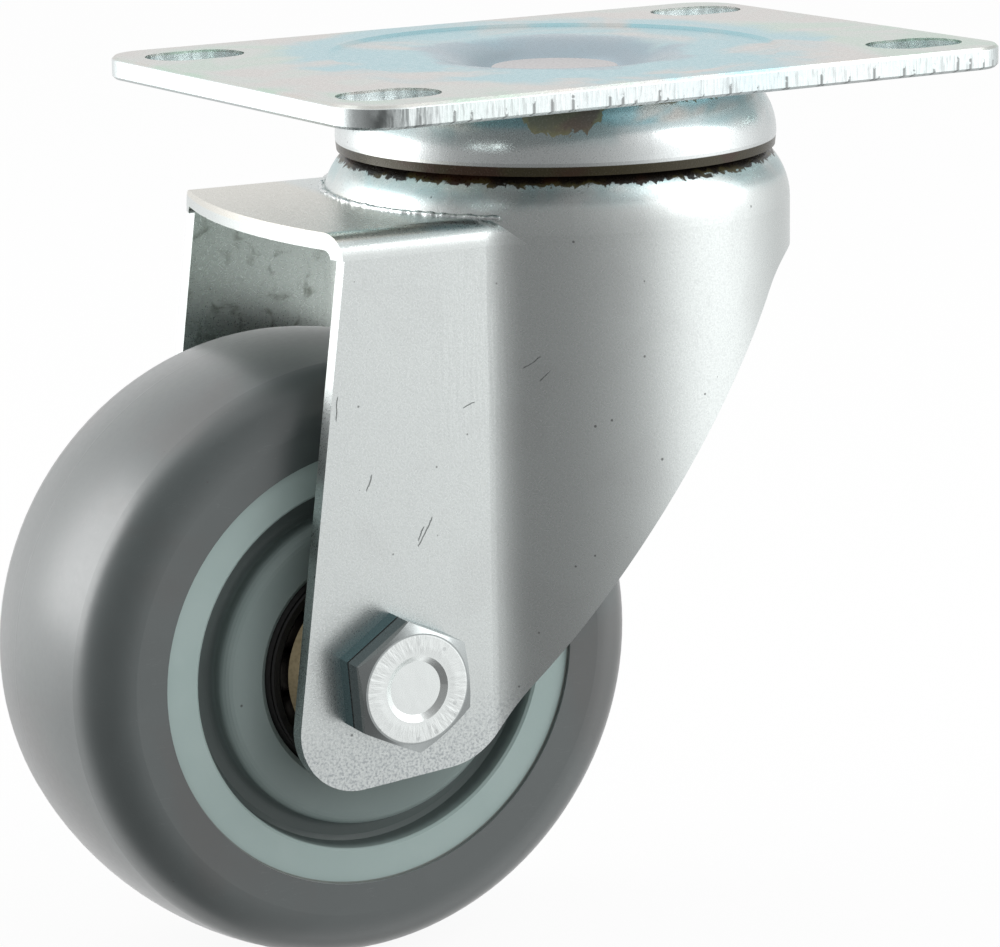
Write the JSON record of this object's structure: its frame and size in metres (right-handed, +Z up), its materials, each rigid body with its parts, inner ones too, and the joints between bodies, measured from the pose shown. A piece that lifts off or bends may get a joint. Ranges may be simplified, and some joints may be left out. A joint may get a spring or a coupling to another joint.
{
  "type": "castor wheel",
  "caption": "Swivel castor with a slotted fixing plate, a double ball race, a pressed fork and a grey wheel on ball bearings.",
  "frame": {"origin": "centre of the plate's top face, on the swivel axis", "axes": "+Z up out of the plate along the swivel axis, +X along the plate's long side away from the trailing wheel, +Y along its short side; the axle is turned 3.8 degrees from it about Z, as in the picture"},
  "size_m": [0.1175, 0.0656, 0.106],
  "materials": {
    "plate": "bright zinc plating, satin",
    "races": "bright zinc plating",
    "fork": "bright zinc plating, fine grain",
    "fasteners": "bright zinc plating",
    "balls": "polished bearing steel",
    "bearing_dark": "blackened steel, satin",
    "bearing_yellow": "yellow passivated zinc, satin",
    "sleeve": "plain steel",
    "core": "moulded grey-green plastic, matt",
    "tread": "moulded grey elastomer, matt",
    "insert": "natural nylon"
  },
  "bodies": {
    "mount": {"top_plate": "plate", "race_cup": "races", "lower_race": "races", "kingpin": "fasteners"},
    "fork": {"fork": "fork", "axle_sleeve": "sleeve", "axle_bolt": "fasteners", "axle_nut": "fasteners", "nut_insert": "insert", "bearing_inner_near": "bearing_yellow", "bearing_inner_far": "bearing_yellow"},
    "wheel": {"tread": "tread", "wheel_core": "core", "bearing_outer_near": "bearing_dark", "bearing_outer_far": "bearing_dark", "bearing_shield_near": "bearing_dark", "bearing_shield_far": "bearing_dark"},
    "race_balls": {"upper_balls": "balls", "lower_balls": "balls"},
    "wheel_balls": {"bearing_balls_near": "balls", "bearing_balls_far": "balls"}
  },
  "joints": [
    {"name": "swivel", "type": "hinge", "parent": "mount", "child": "fork", "pos_m": [0, 0, 0], "axis": [0, 0, 1], "continuous": true},
    {"name": "wheel_spin", "type": "hinge", "parent": "fork", "child": "wheel", "pos_m": [-0.03412, 0.00227, -0.06875], "axis": [0.0663, 0.9978, 0], "continuous": true},
    {"name": "race_roll", "type": "hinge", "parent": "mount", "child": "race_balls", "pos_m": [0, 0, 0], "axis": [0, 0, 1], "continuous": true},
    {"name": "ball_roll", "type": "hinge", "parent": "fork", "child": "wheel_balls", "pos_m": [-0.03412, 0.00227, -0.06875], "axis": [0.0663, 0.9978, 0], "continuous": true}
  ],
  "couplings": [
    {"joint": "race_roll", "follows": "swivel", "ratio": 0.5},
    {"joint": "ball_roll", "follows": "wheel_spin", "ratio": 0.62}
  ]
}
